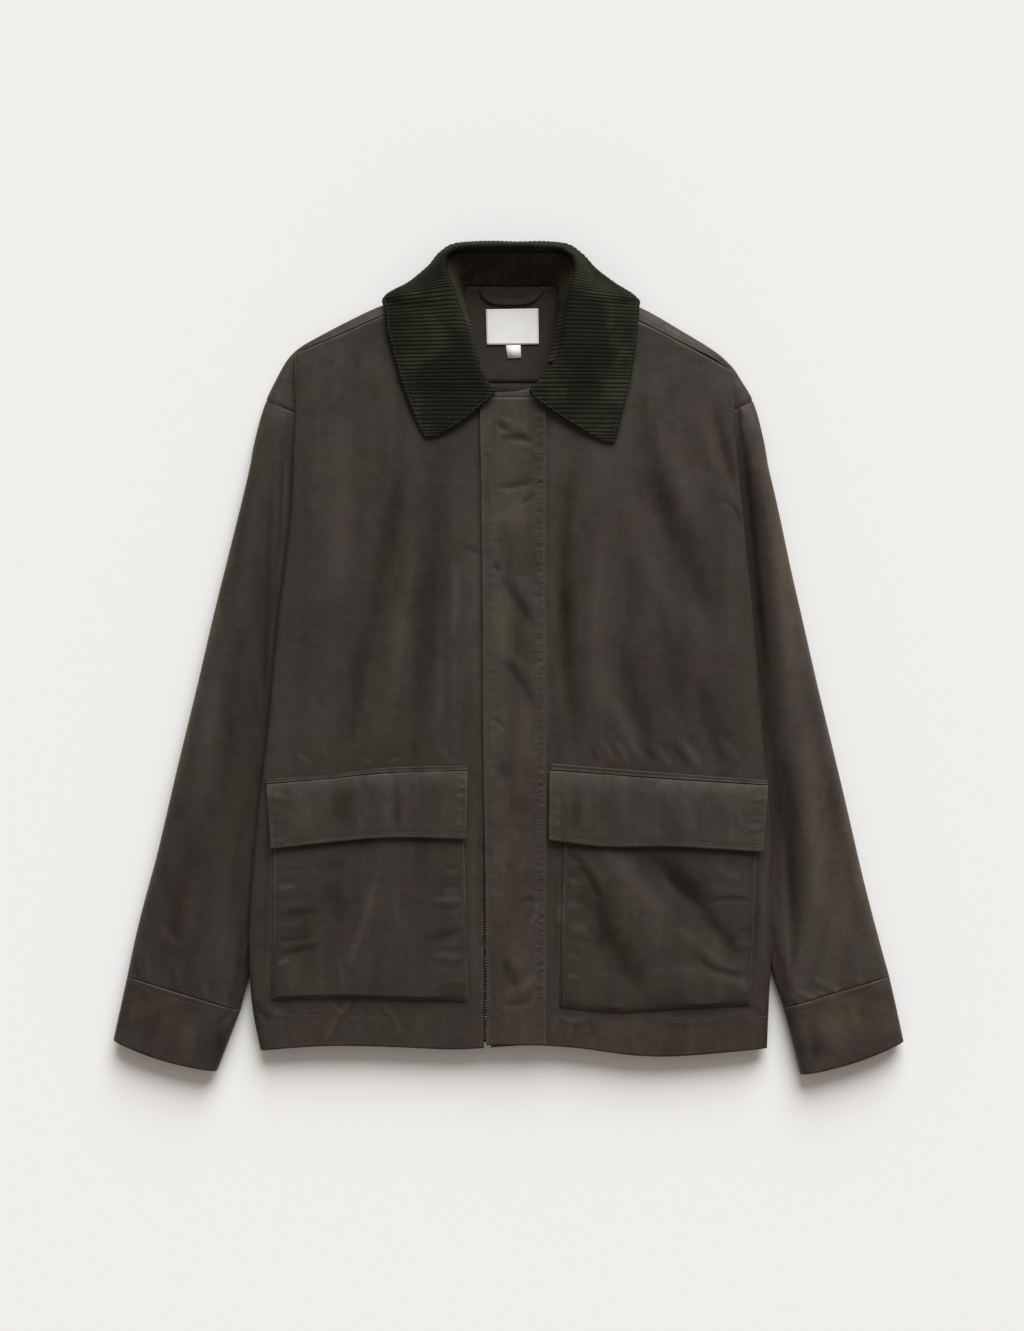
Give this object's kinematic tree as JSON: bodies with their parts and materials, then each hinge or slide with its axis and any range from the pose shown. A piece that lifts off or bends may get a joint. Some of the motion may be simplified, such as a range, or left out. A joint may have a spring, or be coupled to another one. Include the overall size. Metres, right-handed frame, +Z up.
{
  "type": "waxed cotton jacket",
  "caption": "Hip-length waxed cotton jacket laid flat, with a corduroy collar, storm flap, flap pockets and cuffs",
  "frame": {"origin": "centre of the bounding box at the surface the jacket lies on", "axes": "+X to the wearer's left, +Y from the hem to the collar, +Z up out of the fronts"},
  "size_m": [0.7512, 0.7896, 0.0449],
  "materials": {
    "waxed_cotton": "waxed cotton, brown olive, dull sheen",
    "corduroy": "fine corduroy, very dark green",
    "lining_twill": "smooth twill lining, dark grey brown",
    "woven_label": "woven satin, warm white",
    "zip_metal": "dark antique metal on tape"
  },
  "bodies": {
    "root": {"back": "waxed_cotton", "back_yoke": "waxed_cotton", "front_right": "waxed_cotton", "front_left": "waxed_cotton", "sleeve_right": "waxed_cotton", "sleeve_left": "waxed_cotton", "cuff_right": "waxed_cotton", "cuff_left": "waxed_cotton", "pocket_bag_right": "waxed_cotton", "pocket_flap_right": "waxed_cotton", "pocket_welt_right": "waxed_cotton", "pocket_bag_left": "waxed_cotton", "pocket_flap_left": "waxed_cotton", "pocket_welt_left": "waxed_cotton", "storm_flap": "waxed_cotton", "storm_flap_band": "waxed_cotton", "collar_fall": "corduroy", "collar_stand": "corduroy", "yoke_lining": "lining_twill", "back_lining": "lining_twill", "hanger_loop": "lining_twill", "neck_label": "woven_label", "size_tag": "woven_label", "zip": "zip_metal"}
  },
  "joints": []
}
